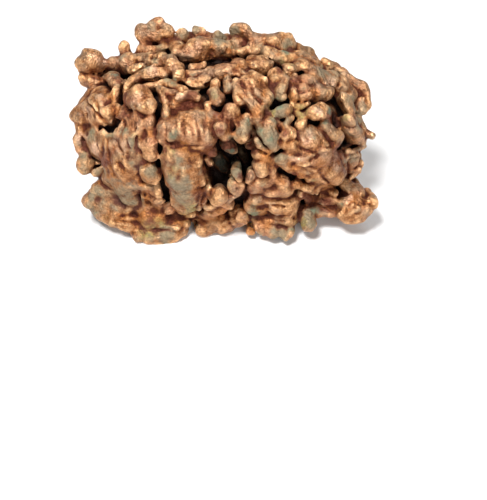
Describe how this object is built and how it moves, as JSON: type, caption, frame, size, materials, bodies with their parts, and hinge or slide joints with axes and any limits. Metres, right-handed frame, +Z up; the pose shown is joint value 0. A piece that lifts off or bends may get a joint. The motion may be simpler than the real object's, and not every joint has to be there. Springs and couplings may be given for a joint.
{
  "type": "native copper nugget",
  "caption": "Large natural nugget of native copper: one lumpy, folded mass with a hollow in its front, resting on its worn base.",
  "frame": {"origin": "middle of the bottom of the nugget's box, on the surface it rests on", "axes": "+X along the nugget's length, to the right as seen from its show face; +Y to its back; +Z up"},
  "size_m": [0.1556, 0.0946, 0.0878],
  "materials": {
    "native_copper": "weathered native copper, satin, with grey-green and maroon patina in the folds"
  },
  "bodies": {
    "root": {"copper_nugget": "native_copper"}
  },
  "joints": []
}
